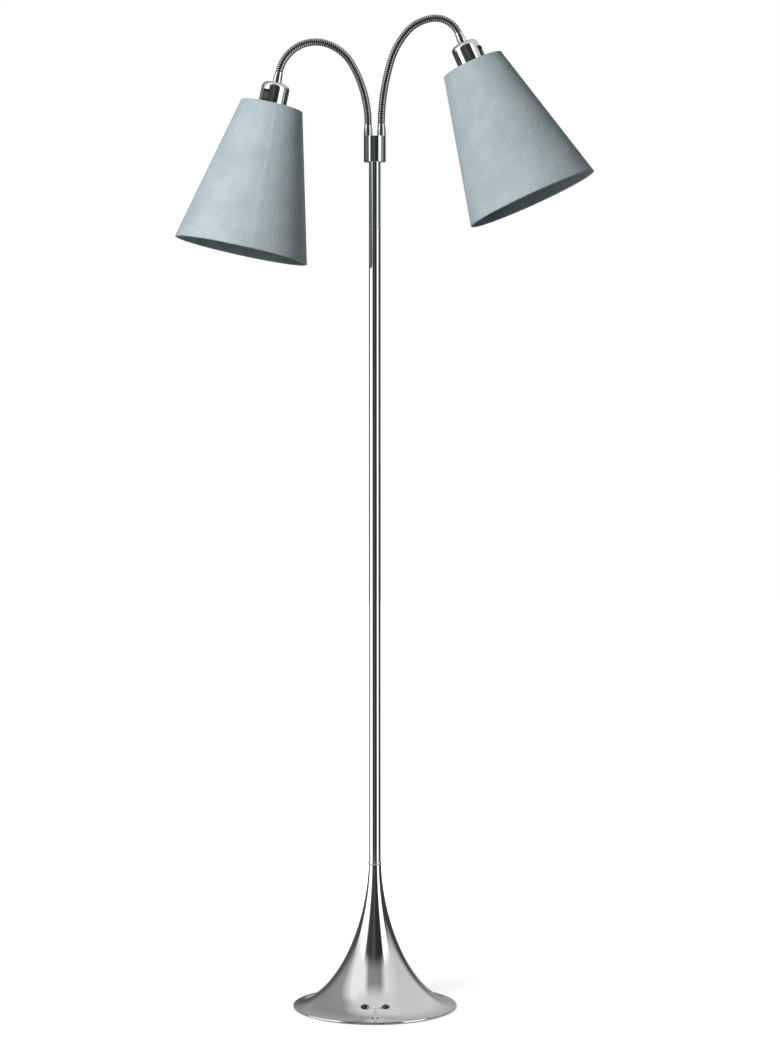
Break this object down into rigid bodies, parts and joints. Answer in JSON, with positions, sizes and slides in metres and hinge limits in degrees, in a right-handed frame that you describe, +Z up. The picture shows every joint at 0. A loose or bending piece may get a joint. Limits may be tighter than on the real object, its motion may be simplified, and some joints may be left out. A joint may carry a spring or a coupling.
{
  "type": "floor lamp",
  "caption": "Floor lamp with a trumpet foot, a straight pole and bendable gooseneck arms that each carry a cone-shaped fabric shade with a rocker switch in its holder cup.",
  "frame": {"origin": "centre of the felt pad's underside, on the pole's axis, at floor level", "axes": "+Z up along the pole; +X to the right towards the higher lamp head; -Y to the front"},
  "size_m": [0.5669, 0.2342, 1.3569],
  "materials": {
    "chrome": "bright plated",
    "steel": "plain",
    "cast_iron": "rough cast",
    "felt": "pressed felt",
    "black_plastic": "moulded, glossy",
    "holder_plastic": "moulded phenolic",
    "brass": "plain",
    "cable": "extruded",
    "shade_cloth": "slubby cloth laminated to a stiff backing",
    "shade_wire": "white lacquered wire",
    "bulb": "opal",
    "bulb_cap": "plain",
    "clear_plastic": "moulded"
  },
  "bodies": {
    "stand": {"arm_collar": "chrome", "ballast_nut": "steel", "ballast_washer": "steel", "base_ballast": "cast_iron", "base_cover_plate": "steel", "base_threaded_tube": "steel", "collar_nipple": "steel", "collar_nut": "steel", "collar_plug": "chrome", "cord_bushing": "black_plastic", "felt_pad": "felt", "lower_pole_tube": "chrome", "neck_ring": "chrome", "pole_inserts": "steel", "pole_joint_nipple": "steel", "splice_connector": "clear_plastic", "supply_lead": "cable", "trumpet_base": "chrome", "upper_pole_tube": "chrome", "left_stem_ferrule": "chrome", "left_gooseneck_1": "chrome", "left_arm_lead": "cable", "right_stem_ferrule": "chrome", "right_gooseneck_1": "chrome", "right_arm_lead": "cable"},
    "left_neck_lower": {"left_gooseneck_2": "chrome"},
    "left_neck_middle": {"left_gooseneck_3": "chrome"},
    "left_neck_upper": {"left_gooseneck_4": "chrome"},
    "left_head": {"left_bulb_cap": "bulb_cap", "left_bulb_glass": "bulb", "left_contact_shell": "brass", "left_gooseneck_5": "chrome", "left_holder_cup": "chrome", "left_lampholder": "holder_plastic", "left_shade_bottom_wire": "shade_wire", "left_shade_fabric": "shade_cloth", "left_shade_ring_nut": "holder_plastic", "left_shade_spider": "shade_wire", "left_shade_top_wire": "shade_wire", "left_switch_body": "black_plastic", "left_tip_ferrule": "chrome"},
    "left_rocker": {"left_switch_rocker": "black_plastic"},
    "right_neck_lower": {"right_gooseneck_2": "chrome"},
    "right_neck_middle": {"right_gooseneck_3": "chrome"},
    "right_neck_upper": {"right_gooseneck_4": "chrome"},
    "right_head": {"right_bulb_cap": "bulb_cap", "right_bulb_glass": "bulb", "right_contact_shell": "brass", "right_gooseneck_5": "chrome", "right_holder_cup": "chrome", "right_lampholder": "holder_plastic", "right_shade_bottom_wire": "shade_wire", "right_shade_fabric": "shade_cloth", "right_shade_ring_nut": "holder_plastic", "right_shade_spider": "shade_wire", "right_shade_top_wire": "shade_wire", "right_switch_body": "black_plastic", "right_tip_ferrule": "chrome"},
    "right_rocker": {"right_switch_rocker": "black_plastic"}
  },
  "joints": [
    {"name": "left_neck_lower_bend", "type": "hinge", "parent": "stand", "child": "left_neck_lower", "pos_m": [-0.01469, -0.001, 1.25248], "axis": [0.1736, -0.9848, 0], "range_deg": [-22, 6], "deforming": ["left_arm_lead"]},
    {"name": "left_neck_sway", "type": "hinge", "parent": "left_neck_lower", "child": "left_neck_middle", "pos_m": [-0.03152, -0.00397, 1.29178], "axis": [-0.8397, -0.1481, -0.5225], "range_deg": [-22, 22], "deforming": ["left_arm_lead"]},
    {"name": "left_neck_upper_bend", "type": "hinge", "parent": "left_neck_middle", "child": "left_neck_upper", "pos_m": [-0.06437, -0.00976, 1.31738], "axis": [0.1736, -0.9848, 0], "range_deg": [-22, 6], "deforming": ["left_arm_lead"]},
    {"name": "left_head_turn", "type": "hinge", "parent": "left_neck_upper", "child": "left_head", "pos_m": [-0.10514, -0.01695, 1.31193], "axis": [0.5146, 0.0907, -0.8526], "range_deg": [-20, 20], "deforming": ["left_arm_lead"]},
    {"name": "left_switch_rock", "type": "hinge", "parent": "left_head", "child": "left_rocker", "pos_m": [-0.14547, -0.03727, 1.24563], "axis": [-0.8312, 0.5329, 0.1583], "range_deg": [0, 14]},
    {"name": "right_neck_lower_bend", "type": "hinge", "parent": "stand", "child": "right_neck_lower", "pos_m": [0.01227, -0.0004, 1.25283], "axis": [0.1219, 0.9925, 0], "range_deg": [-22, 8], "deforming": ["right_arm_lead"]},
    {"name": "right_neck_sway", "type": "hinge", "parent": "right_neck_lower", "child": "right_neck_middle", "pos_m": [0.02172, -0.00156, 1.29473], "axis": [0.9502, -0.1167, -0.289], "range_deg": [-22, 22], "deforming": ["right_arm_lead"]},
    {"name": "right_neck_upper_bend", "type": "hinge", "parent": "right_neck_middle", "child": "right_neck_upper", "pos_m": [0.04182, -0.00403, 1.33234], "axis": [0.1219, 0.9925, 0], "range_deg": [-22, 10], "deforming": ["right_arm_lead"]},
    {"name": "right_head_turn", "type": "hinge", "parent": "right_neck_upper", "child": "right_head", "pos_m": [0.07864, -0.00855, 1.35181], "axis": [0.09, -0.011, -0.9959], "range_deg": [-20, 20], "deforming": ["right_arm_lead"]},
    {"name": "right_switch_rock", "type": "hinge", "parent": "right_head", "child": "right_rocker", "pos_m": [0.14248, -0.02065, 1.30606], "axis": [-0.3373, -0.9362, -0.0992], "range_deg": [0, 14]}
  ]
}
